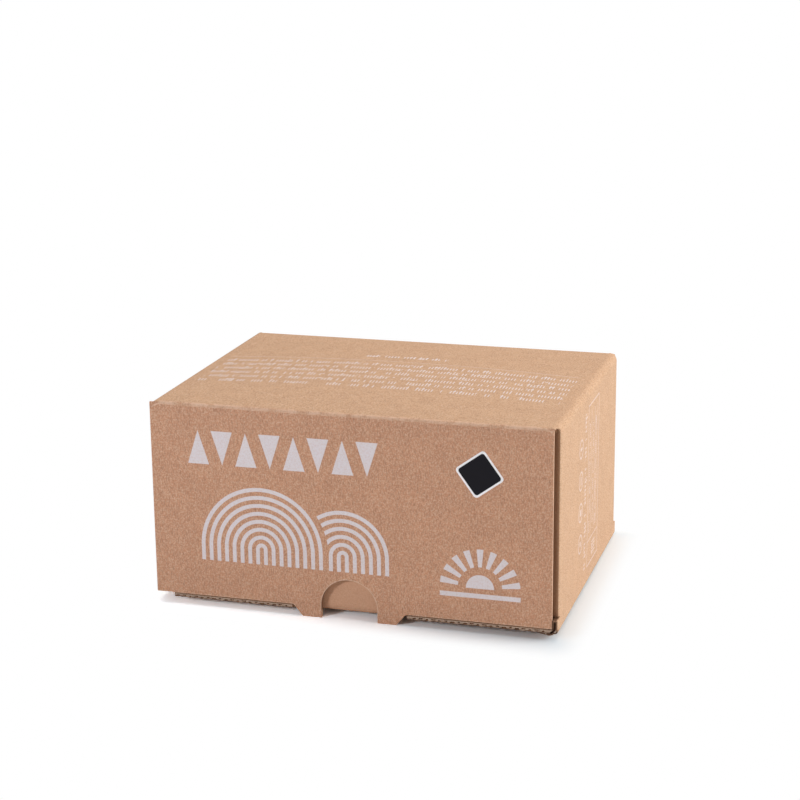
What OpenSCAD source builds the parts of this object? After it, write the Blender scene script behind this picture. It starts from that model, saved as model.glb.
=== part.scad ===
// Folding carton of corrugated kraft board, lying on its wide bottom panel.
// X is left to right, +Y runs from the front to the back, +Z is up, millimetres.
// The origin is under the middle of the whole. Z = 0 is at the tips of the front
// flap's two legs, which hold the front just clear of the table.
// The modules below are drawn with Y = 0 on the outer face of the closed front
// flap, and each node is then moved to its place by `placed`.

/* [Carton] */
// Outside width, left to right
body_w = 206; // [160:1:280]
// Outside height, from the underside of the bottom panel to the top
body_h = 103; // [80:1:160]
// Outside depth, from the front flap to the back end
body_d = 153; // [100:1:240]
// Thickness of the corrugated board
board_t = 3; // [2:0.1:4]
// Inside radius of the soft folds
fold_in = 1.2; // [0.8:0.1:3]
// Outside radius of the sharper fold between the right side and the bottom
low_r = 2; // [1.2:0.1:3.5]
// How far the top panel springs up in its middle
bow_h = 3; // [0.5:0.1:5]
// Height of the glue flap inside the left side
glue_h = 30; // [20:1:50]

/* [Front flap] */
// How much narrower the front flap is than the carton, at each side
flap_inset = 1.5; // [1:0.1:3]
// How far the front flap sits to the left of the middle
flap_shift = 1.2; // [0:0.1:1.3]
// Slit between the front flap's lower edge and the bottom panel
edge_gap = 0.4; // [0.2:0.1:1]
// Slit between the front flap and the flaps behind it
back_gap = 0.3; // [0.2:0.1:1]
// Radius of the tight crease along the front flap's upper edge
crease_r = 1.2; // [0.8:0.1:1.8]
// Radius of the front flap's upper corners
flap_corner_r = 1; // [0.5:0.1:5]

/* [Lock] */
// Width of the locking tab where it leaves the flap's lower edge
tab_w = 58; // [50:1:80]
// How much the tab narrows towards its tips, at each side
tab_taper = 5; // [2:0.5:8]
// How far the tab's two legs reach below the bottom panel
leg_drop = 2.5; // [1:0.1:5]
// Radius of the half round thumb cut-out
moon_r = 14.5; // [10:0.5:18]
// Height of the cut-out's centre above the underside of the bottom panel
moon_z = 4; // [2:0.5:10]
// Play between the tab and the notch of the bottom panel, at each side
notch_fit = 0.6; // [0.3:0.1:1.5]

/* [Inner flaps] */
// How much narrower the inner flap is than its notch, at each side
inner_side = 1.6; // [1:0.1:4]
// How far the inner flap reaches above the thumb cut-out
inner_over = 18; // [10:1:25]
// Space between each dust flap and the inner flap
dust_space = 11; // [5:1:20]
// Outside radius of the sharp folds between the side panels and the dust flaps
dust_r = 1.8; // [1:0.1:2]
// How far the dust flaps stop short of the bottom panel
dust_low = 4.5; // [3:0.5:8]

/* [Raw edges] */
// Width cut away at the front of the bottom panel's left end, for the glue flap's fold
corner_cut = 9.5; // [7:0.5:14]
// Thickness left at raw edges, where the die crushed the board from one face
edge_t = 1.8; // [1.4:0.1:2]
// How far in from the bottom panel's raw front edge the crush reaches
crush_deep = 5; // [3:0.5:7]
// How far in from the front flap's side edges the crush reaches
side_crush = 3; // [2:0.5:5]
// How far back the raw edge stays curled up at the right, before the sharper fold
curl_deep = 2.5; // [1:0.5:5]
// Distance from one flute to the next
flute_pitch = 6.4; // [5:0.1:8]
// Thickness of the liner on each side of the flutes
liner_t = 0.4; // [0.3:0.05:0.6]
// Height of the slits that the crushed flutes leave in the raw edge
slit_h = 0.6; // [0.3:0.05:0.7]
// How deep the open ends of the flutes are cut
flute_deep = 1.5; // [0.5:0.5:4]

/* [Label] */
// Side of the square label
label_s = 17.6; // [12:0.2:26]
// Corner radius of the label
label_r = 1.8; // [0.8:0.1:3]
// Thickness of the label paper
label_t = 0.2; // [0.15:0.05:0.4]
// Label centre, in from the front flap's right edge
label_in = 35.5; // [15:0.5:60]
// Label centre, down from the carton's upper front edge
label_down = 25; // [15:0.5:50]
// Turn of the label
label_turn = 36; // [0:1:90]

/* [Hidden] */
$fn = 48;
eps = 0.01;
xs = body_w/2;
// middle of the whole depth, with the label's thickness
y_mid = (body_d - label_t)/2;
z0 = leg_drop;
z_top = z0 + body_h;
fold_r = fold_in + board_t;
// front plane of the dust flaps and of the inner flap, and where their folds end
in_y = board_t + back_gap;
cut_y = in_y + fold_r;
side_y = in_y + dust_r;
// glued sheets are pressed into each other a little, as in the back end
glue_press = 0.15;
rear_y = body_d - board_t;
rear_cut = rear_y + glue_press - dust_r;
flap_w = body_w - 2*flap_inset;
flap_x = -flap_shift;
flap_z = z0 + board_t + edge_gap;
mitre_gap = 0.15;
notch_w = tab_w + 2*notch_fit;
inner_w = notch_w - 2*inner_side;
inner_h = moon_z + moon_r + inner_over;
dust_in = inner_w/2 + dust_space + flap_shift;
dust_z = z0 + fold_r + dust_low;
tongue_z = dust_z - 1;
crush_h = board_t - edge_t;
// the bowed top: half its width, its front and back ends, and the panes it is drawn with
bow_x = xs - fold_r;
bow_y1 = crease_r + 0.7;
bow_y2 = body_d - fold_r;
bow_nx = 26;
bow_ny = 20;
bow_step = 0.05;

module placed() {
  translate([0, -y_mid, 0]) children();
}

// rectangle standing on y = 0 with round corners
module round_rect(w, h, r) {
  translate([-w/2 + r, 0]) square([w - 2*r, h]);
  translate([-w/2, r]) square([w, h - 2*r]);
  for (sx = [-1, 1], y = [r, h - r]) translate([sx*(w/2 - r), y]) circle(r);
}

// a 2D shape drawn as (x, z) is run along Y, from y1 to y2
module along_y(y1, y2) {
  translate([0, y2, 0]) rotate([90, 0, 0]) linear_extrude(height = y2 - y1) children();
}

// a 2D shape drawn as (y, z) is run along X, from x1 to x2
module along_x(x1, x2) {
  translate([x1, 0, 0]) rotate([90, 0, 90]) linear_extrude(height = x2 - x1) children();
}

// quarter of a fold: sheet of the board's thickness bent round the origin,
// from the -X side to the -Y side
module fold_quarter() {
  intersection() {
    difference() {
      circle(fold_r);
      circle(fold_in);
    }
    translate([-fold_r - 1, -fold_r - 1]) square(fold_r + 1 + eps);
  }
}

// section of the four panels and the glue flap's fold, without the glue flap;
// r is the outside radius of the fold at the lower right
module tube_section(r) {
  seam_x = -xs + board_t - glue_press;
  translate([0, z0]) difference() {
    union() {
      round_rect(body_w, body_h, fold_r);
      translate([xs - r, r]) circle(r);
      translate([0, r]) square([xs, fold_r]);
      translate([0, 0]) square([xs - r, fold_r]);
    }
    translate([0, board_t]) round_rect(body_w - 2*board_t, body_h - 2*board_t, fold_in);
    translate([-xs - 1, -1]) square([board_t + fold_r + 1, fold_r + 3]);
  }
  translate([seam_x + fold_r, z0 + fold_r]) fold_quarter();
  translate([-xs, z0 + 1]) square([board_t, fold_r + 3]);
  translate([seam_x, z0 + fold_r - eps]) square([board_t, tongue_z - z0 - fold_r + eps]);
}

// what the panels give up at the front: the slanted seam under the top crease,
// and the side panels down to the start of the dust flaps
module front_cut() {
  polygon([[mitre_gap - 1, z_top + 1], [side_y + mitre_gap, z_top - side_y],
    [side_y, z_top - side_y - 1], [side_y, tongue_z], [-1, tongue_z], [-2, z_top + 1]]);
  crease_corner();
}

// plan of the sharp fold from the right side panel to the front dust flap
module dust_corner() {
  translate([xs - dust_r, side_y]) circle(dust_r);
  translate([xs - board_t, side_y]) square([board_t, cut_y - side_y]);
  translate([xs - fold_r, in_y]) square([fold_r - dust_r, board_t]);
}

// the same fold up to the top, under the round of the top's own fold
module dust_post() {
  intersection() {
    translate([0, 0, dust_z]) linear_extrude(height = z_top - dust_z) dust_corner();
    along_y(0, cut_y + 1) translate([0, z0]) round_rect(body_w, body_h, fold_r);
  }
}

// what the top's right fold gives up in front of that corner, beside the front flap
module corner_trim() {
  trim_x = flap_x + flap_w/2 + edge_gap;
  translate([0, 0, tongue_z]) linear_extrude(height = z_top - tongue_z + 1) difference() {
    translate([trim_x, -1]) square([xs - trim_x + 1, 1 + side_y]);
    dust_corner();
  }
}

module crease_corner() {
  difference() {
    translate([-1, z_top - crease_r]) square([1 + crease_r, crease_r + 1]);
    translate([crease_r, z_top - crease_r]) circle(crease_r);
  }
}

module back_cut() {
  polygon([[body_d - fold_r, z_top + 1], [body_d - fold_r, z_top - fold_r],
    [rear_cut, z_top - body_d + rear_cut], [rear_cut, tongue_z], [body_d + 1, tongue_z],
    [body_d + 1, z_top + 1]]);
}

// rise of the bowed top at a place on the panel
function bow_rise(x, y) =
  bow_h*(1 - pow(x/bow_x, 2))*(1 - pow(abs(2*y - bow_y1 - bow_y2)/(bow_y2 - bow_y1), 2.4));

function bow_at(i, j) = j*(bow_nx + 1) + i;

// the bowed face over a flat-bottomed block, from y1 to y2
module bow(y1, y2, z_low, z_high) {
  last = (bow_nx + 1)*(bow_ny + 1);
  panes = [for (j = [0 : bow_ny - 1], i = [0 : bow_nx - 1]) [i, j]];
  polyhedron(
    points = concat(
      [for (j = [0 : bow_ny], i = [0 : bow_nx])
        let (x = bow_x*(2*i/bow_nx - 1), y = y1 + (y2 - y1)*j/bow_ny) [x, y, z_high + bow_rise(x, y)]],
      [[-bow_x, y1, z_low], [bow_x, y1, z_low], [bow_x, y2, z_low], [-bow_x, y2, z_low]]),
    faces = concat(
      [for (p = panes) [bow_at(p[0], p[1]), bow_at(p[0], p[1] + 1), bow_at(p[0] + 1, p[1] + 1)]],
      [for (p = panes) [bow_at(p[0], p[1]), bow_at(p[0] + 1, p[1] + 1), bow_at(p[0] + 1, p[1])]],
      [[last, last + 1, last + 2, last + 3],
        concat(last, [for (i = [0 : bow_nx]) bow_at(i, 0)], last + 1),
        concat(last + 1, [for (j = [0 : bow_ny]) bow_at(bow_nx, j)], last + 2),
        concat(last + 2, [for (i = [bow_nx : -1 : 0]) bow_at(i, bow_ny)], last + 3),
        concat(last + 3, [for (j = [bow_ny : -1 : 0]) bow_at(0, j)], last)]),
    convexity = 4);
}

// what the bottom panel's raw front edge gives up below, where it is crushed,
// running out before the right fold
module crush_cut() {
  intersection() {
    along_x(-xs - 1, xs) polygon([[-1, z0 - 1], [crush_deep, z0 - 1], [crush_deep, z0],
      [0, z0 + crush_h], [-1, z0 + crush_h*(1 + 1/crush_deep)]]);
    along_y(-2, crush_deep + 1) polygon([[-xs - 2, z0 - 2], [xs - fold_r + 10, z0 - 2],
      [xs - fold_r, z0], [xs - fold_r - 20, z0 + 4], [-xs - 2, z0 + 4]]);
  }
}

// slits left by crushed flutes in a raw edge that runs along X, as seen from the
// front: one low and the next high, some wider than others
module flute_row(x1, x2) {
  n = floor(2*(x2 - x1)/flute_pitch);
  x0 = (x1 + x2 - (n - 1)*flute_pitch/2)/2;
  for (i = [0 : n - 1]) {
    b = (0.17 + 0.06*sin(137*i))*flute_pitch;
    s = i%2 == 0 ? 1 : -1;
    translate([x0 + i*flute_pitch/2, z0 + board_t - edge_t/2 - s*slit_h/2 - s*0.15])
      polygon([[-b, 0], [b, 0], [0.6*b, s*slit_h], [-0.6*b, s*slit_h]]);
  }
}

// the crushed flute that is seen end on where the raw edge curls up round a corner
module curl_gap() {
  r1 = fold_in + liner_t + 0.7;
  r2 = fold_r - liner_t - 0.3;
  intersection() {
    difference() {
      circle(r2);
      circle(r1);
    }
    polygon([[0, 0], [fold_r, 0], [fold_r, -fold_r], [1, -fold_r]]);
  }
  translate([r1, -eps]) square([r2 - r1, dust_low - 1.6]);
}

// right dust flap of the front, with its fold
module dust_flap() {
  dust_post();
  along_y(in_y, in_y + board_t)
    polygon([[xs - fold_r + eps, dust_z], [dust_in, dust_z + 5], [dust_in, z_top - board_t - 4],
      [dust_in + 6, z_top - board_t - 1], [xs - fold_r - 3, z_top - board_t - 1],
      [xs - fold_r + eps, z_top - cut_y]]);
}

// flap that stands up behind the thumb cut-out
module inner_flap() {
  along_x(-inner_w/2, inner_w/2) {
    translate([cut_y, z0 + fold_r]) fold_quarter();
    translate([in_y, z0 + fold_r - eps]) square([board_t, 10]);
  }
  along_y(in_y, in_y + board_t) polygon([[-inner_w/2, z0 + fold_r + 5], [inner_w/2, z0 + fold_r + 5],
    [inner_w/2, z0 + inner_h - 4], [inner_w/2 - 4, z0 + inner_h],
    [4 - inner_w/2, z0 + inner_h], [-inner_w/2, z0 + inner_h - 4]]);
}

// back end: one flap folded down from the top, glued on two dust flaps
module back_end() {
  intersection() {
    along_x(-flap_w/2, flap_w/2)
      translate([body_d - fold_r, z_top - fold_r]) mirror([1, 0]) mirror([0, 1]) fold_quarter();
    along_y(body_d - fold_r - 1, body_d + 1) translate([0, z0]) round_rect(body_w, body_h, fold_r);
  }
  along_y(body_d - board_t, body_d) translate([-flap_w/2, flap_z])
    square([flap_w, z_top - fold_r - flap_z + eps]);
  for (s = [0, 1]) mirror([s, 0, 0])
    translate([0, rear_y + glue_press + in_y, 0]) mirror([0, 1, 0]) dust_flap();
}

module glue_flap() {
  translate([-xs + board_t - glue_press, 0, 0]) along_x(0, board_t)
    polygon([[cut_y + 2, tongue_z - eps], [cut_y + 8, z0 + glue_h], [rear_cut - 8, z0 + glue_h],
      [rear_cut - 2, tongue_z - eps]]);
}

module carton() {
  notch_in = notch_w/2;
  color([0.74, 0.57, 0.43]) placed() difference() {
    union() {
      difference() {
        union() {
          along_y(0, body_d) tube_section(fold_r);
          along_y(curl_deep, body_d) tube_section(low_r);
          bow(bow_y1, bow_y2, z_top - 1, z_top + bow_step);
        }
        bow(2*board_t, bow_y2 - 2, z_top - board_t - 1, z_top - board_t + bow_step);
        along_x(-xs - 1, xs + 1) front_cut();
        along_x(-xs - 1, xs + 1) back_cut();
        corner_trim();
        translate([flap_x - notch_in, -1, z0 - 1]) cube([notch_w, 1 + cut_y, board_t + 2]);
        crush_cut();
        // at the left the bottom panel's fold starts behind the dust flaps
        translate([-xs - 1, -1, z0 - 1]) cube([1 + corner_cut, 1 + cut_y, tongue_z - z0 + 2]);
        translate([-xs - 1, rear_cut, z0 - 1])
          cube([1 + board_t - glue_press, body_d - rear_cut + 1, tongue_z - z0 + 2]);
        // at the right its raw edge curls up clear of the front flap's corner
        translate([flap_x + flap_w/2 - 3, -1, flap_z - edge_gap])
          cube([3 + edge_gap, 1 + in_y, tongue_z - flap_z + 2]);
      }
      dust_flap();
      mirror([1, 0, 0]) dust_flap();
      translate([flap_x, 0, 0]) inner_flap();
      glue_flap();
      back_end();
    }
    along_y(-1, flute_deep) {
      flute_row(-xs + corner_cut, flap_x - notch_in - 1);
      flute_row(flap_x + notch_in + 1, xs - fold_r);
      translate([xs - fold_r, z0 + fold_r]) curl_gap();
    }
  }
}

// outline of the closed front flap, seen from the front
module flap_outline() {
  top_z = z_top - flap_corner_r;
  side = flap_w/2;
  polygon([[-side, flap_z], [-tab_w/2, flap_z], [tab_taper - tab_w/2, 0], [tab_w/2 - tab_taper, 0],
    [tab_w/2, flap_z], [side, flap_z], [side, top_z], [-side, top_z]]);
  translate([-flap_w/2 + flap_corner_r, top_z - 1]) square([flap_w - 2*flap_corner_r, flap_corner_r + 1]);
  for (sx = [-1, 1]) translate([sx*(flap_w/2 - flap_corner_r), top_z]) circle(flap_corner_r);
}

// what the front flap's raw side edges give up behind, where they are crushed
module side_crush_cut() {
  side = flap_w/2;
  for (s = [0, 1]) mirror([s, 0, 0]) translate([0, 0, -1]) linear_extrude(height = z_top + 2)
    polygon([[side - side_crush, board_t], [side, edge_t], [side + 1, edge_t], [side + 1, board_t + 1],
      [side - side_crush, board_t + 1]]);
}

module front_flap() {
  color([0.70, 0.53, 0.41]) placed() intersection() {
    translate([flap_x, 0, 0]) difference() {
      along_y(-1, board_t + 1) flap_outline();
      along_y(-2, board_t + 2) translate([0, z0 + moon_z]) {
        circle(moon_r);
        translate([-moon_r, -moon_z - z0 - 1]) square([2*moon_r, moon_z + z0 + 1]);
      }
      side_crush_cut();
    }
    along_x(-xs, xs) difference() {
      polygon([[0, -1], [board_t, -1], [board_t, z_top - board_t - mitre_gap],
        [0, z_top - mitre_gap]]);
      crease_corner();
    }
  }
}

module colour_label() {
  color([0.94, 0.94, 0.93]) placed() translate([flap_x + flap_w/2 - label_in, 0, z_top - label_down])
    rotate([0, -label_turn, 0]) along_y(-label_t, 0)
      translate([0, -label_s/2]) round_rect(label_s, label_s, label_r);
}

carton();
front_flap();
colour_label();
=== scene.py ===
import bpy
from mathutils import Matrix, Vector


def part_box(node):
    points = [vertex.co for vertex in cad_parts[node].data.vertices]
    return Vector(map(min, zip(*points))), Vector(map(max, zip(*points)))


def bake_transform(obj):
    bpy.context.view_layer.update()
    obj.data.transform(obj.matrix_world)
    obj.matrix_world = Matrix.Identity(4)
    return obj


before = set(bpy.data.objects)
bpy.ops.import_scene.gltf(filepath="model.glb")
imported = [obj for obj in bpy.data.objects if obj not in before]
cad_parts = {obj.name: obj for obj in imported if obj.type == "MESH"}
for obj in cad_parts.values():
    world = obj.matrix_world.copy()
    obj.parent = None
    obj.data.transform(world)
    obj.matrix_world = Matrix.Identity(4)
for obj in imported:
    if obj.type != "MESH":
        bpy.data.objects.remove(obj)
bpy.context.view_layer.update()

# The carton: one die-cut sheet of 3 mm fluted board with brown kraft paper on both
# faces, folded into a tube of four panels and glued down one edge and at the back
# end. The top springs up in its middle. White ink is printed on top and right side.
import math

import bpy
from mathutils import Matrix, Quaternion, Vector

MM = 0.001
# colours as red, green, blue and alpha, linear
KRAFT = (0.597, 0.351, 0.211, 1)
KRAFT_PALE = (0.78, 0.58, 0.43, 1)
# painted light: a lighter tone for the inner flap in the recess behind the thumb cut
PAINTED_LIGHT_INNER_TONE = (0.68, 0.345, 0.21, 1)
RAW_EDGE = (0.43, 0.30, 0.22, 1)
# deep browns for painted shade in gaps, nooks, cut walls and flute openings
SHADE_BROWN = (0.20, 0.085, 0.038, 1)
DEEP_SHADE_BROWN = (0.10, 0.05, 0.03, 1)
HOLLOW_SHADE = (0.07, 0.03, 0.018, 1)
INK = (0.785, 0.70, 0.71, 1)


class Strand:
    """A number, colour or vector on its way through the nodes of a finish."""

    def __init__(self, nodes, socket):
        self.nodes, self.socket = nodes, socket

    def math(self, operation, *rest):
        return self.nodes.put("ShaderNodeMath", {"operation": operation}, dict(enumerate((self,) + rest)))

    def __add__(self, other):
        return self.math("ADD", other)

    def __radd__(self, other):
        return self.math("ADD", other)

    def __sub__(self, other):
        return self.math("SUBTRACT", other)

    def __rsub__(self, other):
        return self.nodes.put("ShaderNodeMath", {"operation": "SUBTRACT"}, {0: other, 1: self})

    def __mul__(self, other):
        return self.math("MULTIPLY", other)

    def __rmul__(self, other):
        return self.math("MULTIPLY", other)

    def __truediv__(self, other):
        return self.math("DIVIDE", other)

    def __lt__(self, other):
        return self.math("LESS_THAN", other)

    def __gt__(self, other):
        return self.math("GREATER_THAN", other)

    def __and__(self, other):
        return self.math("MINIMUM", other)

    def __or__(self, other):
        return self.math("MAXIMUM", other)

    def __abs__(self):
        return self.math("ABSOLUTE")

    def squared(self):
        return self.math("POWER", 2)

    def whole(self):
        return self.math("FLOOR")

    def part(self):
        return self.math("FRACT")

    def ramp(self, low, high, to_low=0.0, to_high=1.0):
        sockets = {"Value": self, "From Min": low, "From Max": high, "To Min": to_low, "To Max": to_high}
        return self.nodes.put("ShaderNodeMapRange", {"interpolation_type": "SMOOTHSTEP"}, sockets)


class Nodes:
    """The nodes of a material or of the world, put in one at a time."""

    def __init__(self, owner):
        owner.use_nodes = True
        self.tree = owner.node_tree
        self.tree.nodes.clear()

    def put(self, kind, settings, sockets, output=0):
        node = self.tree.nodes.new(kind)
        for name, value in settings.items():
            setattr(node, name, value)
        for name, value in sockets.items():
            if isinstance(value, Strand):
                self.tree.links.new(value.socket, node.inputs[name])
            else:
                node.inputs[name].default_value = value
        return Strand(self, node.outputs[output]) if node.outputs else None


class Finish(Nodes):
    """The material of a piece, drawn in the piece's own coordinates."""

    def __init__(self, name):
        self.material = bpy.data.materials.new(name)
        super().__init__(self.material)
        self.place = self.put("ShaderNodeTexCoord", {}, {}, "Object")
        self.x, self.y, self.z = [self.put("ShaderNodeSeparateXYZ", {}, {0: self.place}, axis)
                                  for axis in "XYZ"]

    def stretched(self, scale):
        return self.put("ShaderNodeVectorMath", {"operation": "MULTIPLY"}, {0: self.place, 1: scale})

    def noise(self, size, detail=2.0, rough=0.5, at=None):
        sockets = {"Vector": at or self.place, "Scale": 1 / size, "Detail": detail, "Roughness": rough}
        return self.put("ShaderNodeTexNoise", {}, sockets, "Fac")

    def dice(self, x, y):
        spot = self.put("ShaderNodeCombineXYZ", {}, {0: x, 1: y})
        return self.put("ShaderNodeTexWhiteNoise", {"noise_dimensions": "2D"}, {0: spot}, "Value")

    def mix(self, share, first, second):
        return self.put("ShaderNodeMix", {"data_type": "RGBA"}, {"Factor": share, 6: first, 7: second}, 2)

    # outlines of printed shapes, as distances in metres that are negative inside
    def bar(self, u, v, centre, size):
        return (abs(u - centre[0]) - size[0] / 2) | (abs(v - centre[1]) - size[1] / 2)

    def disc(self, u, v, centre, radius):
        return ((u - centre[0]).squared() + (v - centre[1]).squared()).math("SQRT") - radius

    def ring(self, u, v, centre, radius, line):
        return abs(self.disc(u, v, centre, radius)) - line / 2

    def strokes(self, u, v, row, step, tall, gap=0.14, wide=0.21, tie=0.66):
        """Fine print from a step away: upright strokes in groups, some joined above or below.

        A stroke fills 2 * wide of its step. The groups leave about gap of the row empty,
        and the share tie of the strokes stands single.
        """
        cell = u / step + row * 0.37
        lot, chance = self.dice(cell.whole(), row), self.dice(row, cell.whole() + 5.5)
        half, riser = 0.34 * tall, 0.3 * tall * (lot > 0.8)
        upright = (abs(cell.part() - 0.5) < wide) * (v < half + riser) * (v > -half) * (chance > 0.08)
        joined = abs(abs(v) - 0.27 * tall) < 0.08 * tall
        joined = joined * (((lot > tie) * (v > 0)) | ((chance > tie + 0.06) * (v < 0)))
        printed = upright | joined
        for length, shift, empty in ((17.3 * MM, 0.43, gap), (29.9 * MM, 0.71, gap * 0.6)):
            printed = printed * ((u / length + row * shift).part() > empty)
        return printed

    def inked(self, colour, cover):
        """White ink over kraft: a little kraft shows through it."""
        grain = self.noise(0.9 * MM, 2.0, 0.6).ramp(0.30, 0.62, 0.78, 1.0)
        return self.mix(cover * grain, colour, INK)

    def close(self, colour, rough, height, depth, shine=0.25):
        """Lead colour, roughness and height into the shader; the finish is then complete."""
        bump = {"Strength": 1.0, "Distance": depth, "Height": height}
        skin = {"Base Color": colour, "Roughness": rough, "Specular IOR Level": shine,
                "Normal": self.put("ShaderNodeBump", {}, bump, "Normal")}
        surface = self.put("ShaderNodeBsdfPrincipled", {}, skin)
        self.put("ShaderNodeOutputMaterial", {}, {"Surface": surface})
        return self.material


def kraft(finish, along, tone=KRAFT, busy=1.4):
    """Unbleached liner paper: cloudy pulp, fibres along the machine direction, a few dark specks."""
    cloud = finish.noise(9 * MM, 3.0, 0.65)
    pulp = finish.noise(0.85 * MM, 3.0, 0.7)
    fibre = finish.noise(0.5 * MM, 2.0, 0.6, finish.stretched(along))
    speck = finish.noise(1.9 * MM, 2.0, 0.55)
    dark = [part * share for part, share in zip(tone, (0.60, 0.54, 0.52, 1))]
    colour = tone
    for share, shade in ((cloud.ramp(0.3, 0.7) * (0.14 * busy), dark),
                         (pulp.ramp(0.40, 0.66) * (0.32 * busy), KRAFT_PALE),
                         (fibre.ramp(0.48, 0.68) * (0.34 * busy), dark),
                         (speck.ramp(0.70, 0.745) * 0.5, dark)):
        colour = finish.mix(share, colour, shade)
    return colour, 0.80 + 0.1 * pulp, pulp * 0.5 + fibre * 0.5


def dress(node, skin):
    """Give a CAD node its one material."""
    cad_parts[node].data.materials.clear()
    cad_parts[node].data.materials.append(skin)


carton_low, carton_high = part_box("carton")
flap_low, flap_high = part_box("front_flap")
FRONT, BACK, RIGHT, UNDER = flap_low.y, carton_high.y, carton_high.x, carton_low.z
BOW = 3.05 * MM
TOP = carton_high.z - BOW
BUMP = 0.03 * MM

board = Finish("kraft_board")
x, y, z = board.x, board.y, board.z
colour, rough, height = kraft(board, (1.0, 0.25, 1.0))
# the print on the right side: round marks with a bar in each (z of the middle, width
# and height of the bar), then a frame with rules in it (y and z of the middle, sizes)
COLUMN, RING, RING_LINE = -22.5 * MM, 4.6 * MM, 0.9 * MM
MARKS = ((80, 4.2, 1.6), (63.5, 1.8, 4.4), (47, 4, 3.4), (30.5, 2.6, 2.6))
FRAME = ((9.5, 97, 27, 0.7), (9.5, 12, 27, 0.7), (-4, 54.5, 0.7, 85), (23, 54.5, 0.7, 85),
         (9.5, 25, 27, 0.5), (4, 61, 0.5, 64), (13, 61, 0.5, 64), (18, 61, 0.5, 64))
marks = 1.0
for middle, wide, high in MARKS:
    marks = board.ring(y, z, (COLUMN, middle * MM), RING, RING_LINE) & marks
    marks = board.bar(y, z, (COLUMN, middle * MM), (wide * MM, high * MM)) & marks
for across, up, wide, high in FRAME:
    marks = board.bar(y, z, (across * MM, up * MM), (wide * MM, high * MM)) & marks
# and fine strokes that run upwards: y, row, step, height, z of the middle, half length
LINES = ((-11, 1, 2.2, 5.2, 54, 41), (0, 2, 1.1, 2.6, 58, 29), (8.5, 3, 1.1, 2.6, 58, 29),
         (15.5, 4, 1.1, 2.6, 58, 29), (12, 6, 1.9, 12, 18, 4))
lines = 0.0
for across, row, step, tall, up, half in LINES:
    line = board.strokes(z, y - across * MM, float(row), step * MM, tall * MM)
    lines = line * (abs(z - up * MM) < half * MM) | lines
side_print = (marks.ramp(0.15 * MM, -0.15 * MM) | lines) * (x > RIGHT - 0.2 * MM)
# the print on the top: six rows of fine strokes, a rule and a short row beyond it
PITCH, FIRST_ROW, BLOCK, HALF_BLOCK = 8.27 * MM, -37.2 * MM, -12.4 * MM, 24.8 * MM
turn = (y - FIRST_ROW) / PITCH
row = turn.whole()
gaps = 0.10 + 0.12 * (row < 0.5)
rows = board.strokes(x, (turn.part() - 0.5) * PITCH, row, 1.6 * MM, 5.6 * MM, gaps, 0.16, 0.88)
rows = rows * (abs(y - BLOCK) < HALF_BLOCK) * 0.95
rule = (abs(y - 16.5 * MM) < 0.3 * MM) * 0.4
title = board.strokes(x, y - 26.2 * MM, 9.0, 1.7 * MM, 4.6 * MM, 0.06) * (abs(x) < 22 * MM)
top_print = (rows | rule) * (abs(x) < 94 * MM) | title
# only on the outer face, which lies higher towards the middle of the bow
rise = (1 - (x / (98.8 * MM)).squared()) * (1 - (y / (73.5 * MM)).squared()) | 0
top_print = top_print * (z - 0.9 * BOW * rise > TOP - 1.2 * MM)
colour = board.inked(colour, side_print * 0.5 | top_print)
# the inner flap behind the thumb cut is painted lighter and redder: painted light that lifts the shade of
# its recess
inner = (abs(y - FRONT - 4.75 * MM) < 2.25 * MM) * (abs(x) < 30 * MM) * (z < 45 * MM)
colour = board.mix(inner * 0.55, colour, PAINTED_LIGHT_INNER_TONE)
# the raw edge along the front, cut through the flutes: its own tone with dark dashes of painted shade where
# the flutes open, darker dashes low down, and a painted shadow line under the flap
raw = (y < FRONT + 0.1 * MM) * (z < UNDER + 8 * MM)
streak_noise = board.noise(0.9 * MM, 3.0, 0.7, board.stretched((0.35, 1.0, 1.6)))
colour = board.mix(raw, colour, board.mix(streak_noise.ramp(0.28, 0.44), SHADE_BROWN, RAW_EDGE))
# darker painted shade in the flute openings low down
colour = board.mix(raw * (z < UNDER + 1.7 * MM), colour, board.mix(streak_noise.ramp(0.52, 0.60), DEEP_SHADE_BROWN, RAW_EDGE))
# a painted shadow line in the gap under the flap
colour = board.mix(raw * (z + streak_noise * (0.6 * MM) > UNDER + 3.15 * MM) * 0.8, colour, SHADE_BROWN)
# painted shade in the gap between the front flap and the right side's sharp fold, darker towards the bottom
nook = (abs(y - FRONT - 2.6 * MM) < 2.4 * MM) * (x > flap_high.x - 2 * MM) * (x < RIGHT - 0.5 * MM)
colour = board.mix(nook * (z < TOP - 1 * MM) * 0.8, colour, SHADE_BROWN)
colour = board.mix(nook * z.ramp(UNDER + 11 * MM, UNDER + 5 * MM) * 0.9, colour, HOLLOW_SHADE)
dress("carton", board.close(colour, rough, height, BUMP))

# The front flap: part of the same sheet, creased across the flutes along the top's
# front edge and tucked in by two legs below a half round thumb cut-out.
# the outer face takes a redder, darker copy of the kraft tone, a painted shade that also offsets the blue
# of the fill lamp on the front; the inner face keeps the plain tone
SHADED_FRONT_TONE = (0.612, 0.293, 0.168, 1)
flap = Finish("kraft_front")
x, y, z = flap.x, flap.y, flap.z
colour, rough, height = kraft(flap, (1.0, 1.0, 0.25), SHADED_FRONT_TONE, 1.7)
inside = kraft(flap, (1.0, 1.0, 0.25))[0]
colour = flap.mix(y > FRONT + 1.5 * MM, colour, inside)
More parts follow.
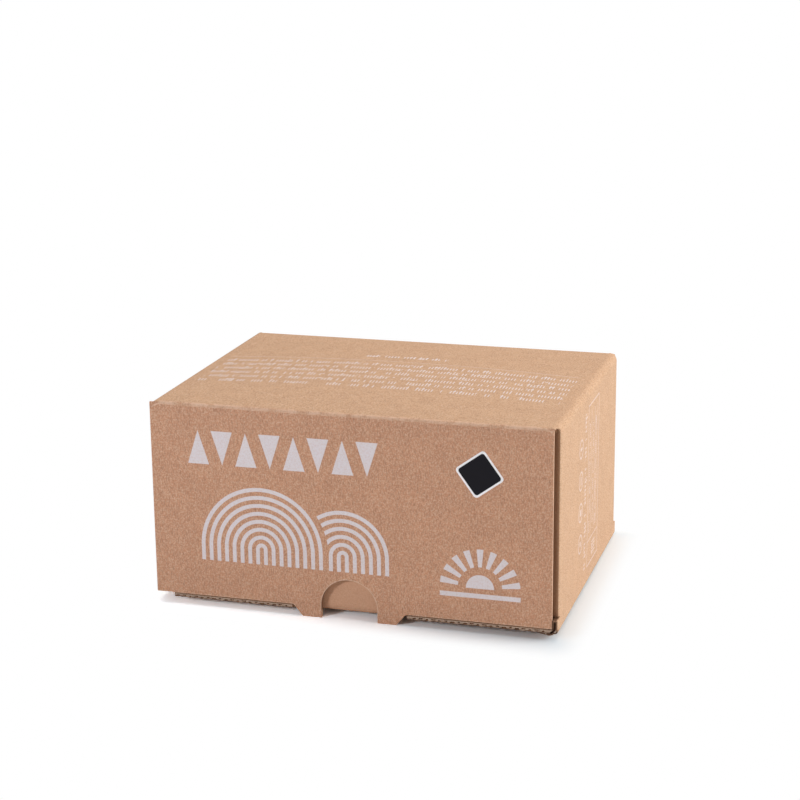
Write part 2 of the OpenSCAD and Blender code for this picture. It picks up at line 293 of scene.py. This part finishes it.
# a heading of eight solid triangles that point up and down by turns
STEP, HALF_HIGH, HEADING_X, HEADING_Z = 12.4 * MM, 8.6 * MM, -34.4 * MM, 83.5 * MM
step = (x - HEADING_X + 4 * STEP) / STEP
flip = (step * 0.5).part().ramp(0.4999, 0.5001, 1, -1)
high = (z - HEADING_Z) * flip
across = abs(step.part() - 0.5) * STEP
heading = ((across * 3.1 + high - HALF_HIGH) * 0.3) | (abs(high) - HALF_HIGH)
heading = heading | (abs(x - HEADING_X) - 4 * STEP)
# nested arches in lines 2 mm wide; the nearer group keeps a clear margin round itself
ARCH_PITCH, LINE, SPRING_Z, LEG, MARGIN = 4.1 * MM, 2.0 * MM, 33 * MM, 8 * MM, 2 * MM


def arches(centre, radius):
    """The arches, and the field that they cover with their margin."""
    reach = flap.disc(x, z, (centre, SPRING_Z), 0) * (z > SPRING_Z) + abs(x - centre) * (z < SPRING_Z)
    lines = abs((reach / ARCH_PITCH).part() - 0.5) * ARCH_PITCH - LINE / 2
    printed = lines | (reach - radius) | (SPRING_Z - LEG - z)
    return printed, (reach - radius - MARGIN) | (SPRING_Z - LEG - MARGIN - z)


near, field = arches(-46 * MM, 32.8 * MM)
drawing = near & (arches(-4 * MM, 24.6 * MM)[0] | field * -1)
# a half sun with rays over a rule
SUN_X, SUN_Z, DISC, RAY_IN, RAY_OUT, RAY_ANGLE = 65 * MM, 23 * MM, 7 * MM, 11 * MM, 20 * MM, math.pi / 9
u, v = x - SUN_X, z - SUN_Z
reach = flap.disc(x, z, (SUN_X, SUN_Z), 0)
ray = abs((v.math("ARCTAN2", u) / RAY_ANGLE).part() - 0.5) < 0.24
sun = (reach - DISC) & ((reach - RAY_OUT) | (RAY_IN - reach) | (0.5 - ray) * MM)
sun = (sun | v * -1) & flap.bar(x, z, (SUN_X, 19.2 * MM), (40 * MM, 2.4 * MM))
cover = (heading & drawing & sun).ramp(0.12 * MM, -0.12 * MM)
colour = flap.inked(colour, cover * (y < FRONT + 0.1 * MM))
# the cut edges show the pale liner on the face; deeper in, the wall of the thumb cut and the side edge get
# painted shade
rim = flap.disc(x, z, (-1.2 * MM, 6.5 * MM), 14.5 * MM)
fuzz = flap.noise(1.6 * MM, 3.0, 0.7)
worn = (rim - (fuzz - 0.25) * (0.9 * MM)).ramp(0.25 * MM, 0.0)
side_edge = x > flap_high.x - 0.12 * MM
lower_edge = (z < flap_low.z + 6.2 * MM) * (abs(x) > 29 * MM)
colour = flap.mix((worn | (side_edge | lower_edge) * 0.5) * 0.6, colour, KRAFT_PALE)
colour = flap.mix((abs(rim) < 0.3 * MM) * (y > FRONT + 0.5 * MM) * 0.85, colour, SHADE_BROWN)
colour = flap.mix(side_edge * (y > FRONT + 1.3 * MM) * 0.8, colour, SHADE_BROWN)
dress("front_flap", flap.close(colour, rough, height, BUMP))

# The crease: the outer liner runs on over the fold between top and front flap. Its
# stretched fibres show as a pale, slightly uneven line.
# the crease's kraft tone lies halfway to the front flap's painted shade tone
HALF_SHADED_CREASE_TONE = (0.605, 0.322, 0.19, 1)
STRAINED = (0.82, 0.56, 0.41, 1)
ROUND, LIFT, FLAT, STRAIGHT, LINER = 1.2 * MM, 0.06 * MM, 0.35 * MM, 97 * MM, 0.05 * MM
# side of the carton, then steps outwards and down, in mm, that follow its side fold
ENDS = ((-1, ((2.0, 0.34), (1.5, 0.79), (1.0, 0.9))), (1, ((2.0, 0.34), (0.7, 0.30))))


def pick(piece, wanted):
    """Leave only the corners in hand that the test wants."""
    bpy.ops.object.mode_set(mode="EDIT")
    bpy.ops.mesh.select_mode(type="VERT")
    bpy.ops.mesh.select_all(action="DESELECT")
    bpy.ops.object.mode_set(mode="OBJECT")
    for corner in piece.data.vertices:
        corner.select = wanted(corner.co)
    bpy.ops.object.mode_set(mode="EDIT")


bpy.ops.object.select_all(action="DESELECT")
bpy.ops.mesh.primitive_plane_add(size=2)
crease = bpy.context.object
crease.name = "crease_liner"
bpy.ops.object.mode_set(mode="EDIT")
bpy.ops.transform.resize(value=(STRAIGHT, FLAT / 2, 1))
bpy.ops.transform.translate(value=(0, FRONT + ROUND + FLAT / 2, TOP + LIFT))
# round the fold, then a little way down the flap
pick(crease, lambda at: at.y < FRONT + ROUND + FLAT / 2)
bpy.ops.mesh.spin(steps=9, angle=math.pi / 2, center=(0, FRONT + ROUND, TOP - ROUND), axis=(-1, 0, 0))
bpy.ops.mesh.extrude_region_move(TRANSFORM_OT_translate={"value": (0, 0, -FLAT)})
for side, bends in ENDS:
    edge = STRAIGHT
    for out, down in bends:
        pick(crease, lambda at: at.x * side > edge - 0.1 * MM)
        bpy.ops.mesh.extrude_region_move(TRANSFORM_OT_translate={"value": (side * out * MM, 0, -down * MM)})
        edge += out * MM
bpy.ops.mesh.select_all(action="SELECT")
bpy.ops.mesh.normals_make_consistent(inside=False)
bpy.ops.object.mode_set(mode="OBJECT")
thicken = crease.modifiers.new("liner", "SOLIDIFY")
thicken.thickness, thicken.offset = LINER, -1
bpy.ops.object.modifier_apply(modifier="liner")
bpy.ops.object.shade_smooth_by_angle(angle=math.radians(40))
fold = Finish("kraft_crease")
colour, rough, height = kraft(fold, (1.0, 0.25, 0.25), HALF_SHADED_CREASE_TONE)
strain = fold.noise(2.2 * MM, 3.0, 0.7, fold.stretched((0.5, 1.0, 1.0))).ramp(0.35, 0.65, 0.05, 0.55)
colour = fold.mix(strain, colour, STRAINED)
crease.data.materials.append(fold.close(colour, rough, height, 0.04 * MM))
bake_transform(crease)

# The label: a small square of white satin paper with a dark printed field, stuck
# askew on the front flap.
PAPER, PAPER_SHADE = (0.98, 0.93, 0.93, 1), (0.94, 0.89, 0.89, 1)
FIELD = (0.007, 0.006, 0.009, 1)
TURN, HALF_FIELD, CORNER = math.radians(36), 6.4 * MM, 1.4 * MM
label_low, label_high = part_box("colour_label")
centre = (label_low + label_high) / 2
label = Finish("label_paper")
across, up = label.x - centre.x, label.z - centre.z
u = across * math.cos(TURN) + up * math.sin(TURN)
v = up * math.cos(TURN) - across * math.sin(TURN)
# a square with round corners, on the outer face only
over_u, over_v = (abs(u) - HALF_FIELD) | 0.0, (abs(v) - HALF_FIELD) | 0.0
field = (over_u.squared() + over_v.squared()).math("SQRT") - CORNER
dark = field.ramp(0.08 * MM, -0.08 * MM) * (label.y < label_low.y + 0.05 * MM)
colour = label.mix(label.noise(2 * MM).ramp(0.3, 0.7), PAPER, PAPER_SHADE)
colour = label.mix(dark, colour, FIELD)
rough = 0.42 + 0.1 * label.noise(1 * MM)
dress("colour_label", label.close(colour, rough, label.noise(0.5 * MM), 0.01 * MM, 0.12))

# The studio: a white table that the carton stands on with its leg tips and its back
# edge, soft light all round with a brighter side to the right, and the camera.
WHITE, TABLE = (1, 1, 1, 1), (0.86, 0.86, 0.86, 1)
# table tones that the camera sees near the carton: painted light on the open side, a painted blue shade
# tint on the lamp side
OPEN_SIDE_PAINTED_LIGHT, LAMP_SIDE_SHADE_TINT = (2.15, 2.2, 2.25, 1), (0.86, 0.90, 0.94, 1)
SOFT_LIGHT = 0.2


def white_rays(nodes):
    """1 on the rays that show the white background, 0 on those that carry light."""
    camera, glossy, through = [nodes.put("ShaderNodeLightPath", {}, {}, "Is %s Ray" % kind)
                               for kind in ("Camera", "Glossy", "Transmission")]
    return camera | glossy | through


bpy.ops.object.select_all(action="DESELECT")
bpy.ops.mesh.primitive_plane_add(size=6)
table = bpy.context.object
table.name = "table"
lift = math.atan2(UNDER, BACK - FRONT)
table.data.transform(Matrix.Translation((0, 0, -FRONT * math.tan(lift))) @ Matrix.Rotation(lift, 4, "X"))
cloth = Finish("table_white")
# the carton's shadow shows near it and fades to plain white: how steeply on each side
left = ((carton_low.x - cloth.x) | 0.0) * 12
right = ((cloth.x - RIGHT) | 0.0) * 2.2
ahead = ((FRONT - cloth.y) | 0.0) * (2.05 - cloth.x * 6)
behind = ((cloth.y - BACK) | 0.0) * 5
reach = (left.squared() + right.squared() + ahead.squared() + behind.squared()).math("SQRT")
# near the carton the camera sees the table painted brighter than white on the open left side, which washes
# the shadow out there, and in about the table's own tone with a painted blue shade tint on the lamp side to
# the right
shaded, open_side, lamp_side = [cloth.put("ShaderNodeBsdfDiffuse", {}, {"Color": tone})
                                for tone in (TABLE, OPEN_SIDE_PAINTED_LIGHT, LAMP_SIDE_SHADE_TINT)]
across = cloth.x.ramp(-100 * MM, 110 * MM)
near = cloth.put("ShaderNodeMixShader", {}, {0: across, 1: open_side, 2: lamp_side})
glow = cloth.put("ShaderNodeEmission", {}, {"Color": WHITE, "Strength": 1.0})
shown = cloth.put("ShaderNodeMixShader", {}, {0: reach.ramp(2 * MM, 34 * MM), 1: near, 2: glow})
both = cloth.put("ShaderNodeMixShader", {}, {0: white_rays(cloth), 1: shaded, 2: shown})
cloth.put("ShaderNodeOutputMaterial", {}, {"Surface": both})
table.data.materials.append(cloth.material)

world = bpy.data.worlds.new("studio")
bpy.context.scene.world = world
sky = Nodes(world)
soft = sky.put("ShaderNodeBackground", {}, {"Color": WHITE, "Strength": SOFT_LIGHT})
white = sky.put("ShaderNodeBackground", {}, {"Color": WHITE, "Strength": 1.0})
both = sky.put("ShaderNodeMixShader", {}, {0: white_rays(sky), 1: soft, 2: white})
sky.put("ShaderNodeOutputWorld", {}, {"Surface": both})


def place(name, data, spot):
    """Put a lamp or the camera at its spot in the studio."""
    holder = bpy.data.objects.new(name, data)
    bpy.context.collection.objects.link(holder)
    holder.location = spot
    return holder


# side of the carton: spot, point that it faces, width in metres, watts, colour
SOFTBOXES = {"right": ((1.4, 0.1, 0.8), (0, 0, 0.05), 1.0, 20.3, (0.95, 1.0, 1.0)),
             "above": ((0.1, 0.5, 1.5), (0, 0, 0.05), 1.4, 12.4, (1.0, 0.95, 0.88)),
             "left": ((-0.75, -0.95, 0.42), (0, -0.05, 0.05), 0.18, 6.2, (0.85, 0.92, 1.0))}
for side, (spot, aim, width, watts, tint) in SOFTBOXES.items():
    lamp = bpy.data.lights.new("softbox_" + side, "AREA")
    lamp.size, lamp.energy, lamp.color = width, watts, tint
    holder = place("softbox_" + side, lamp, spot)
    holder.rotation_euler = (Vector(aim) - Vector(spot)).to_track_quat("-Z", "Y").to_euler()

AZIMUTH, ELEVATION, ROLL = map(math.radians, (16.43, 15.32, -0.57))
AIM = Vector((3.42, 0.0, 92.55)) * MM
DISTANCE = 1008.9 * MM
# the focal length in picture points, on a sensor as wide as the picture's 800 points
FOCAL, PICTURE, SENSOR = 1958.65, 800, 36
eye = bpy.data.cameras.new("camera")
eye.lens, eye.sensor_width = FOCAL * SENSOR / PICTURE, SENSOR
back = Vector((math.sin(AZIMUTH) * math.cos(ELEVATION), -math.cos(AZIMUTH) * math.cos(ELEVATION),
               math.sin(ELEVATION)))
stand = place("camera", eye, AIM + back * DISTANCE)
stand.rotation_mode = "QUATERNION"
stand.rotation_quaternion = Quaternion(-back, -ROLL) @ (-back).to_track_quat("-Z", "Y")
bpy.context.scene.camera = stand
bpy.context.scene.view_settings.view_transform = "Standard"
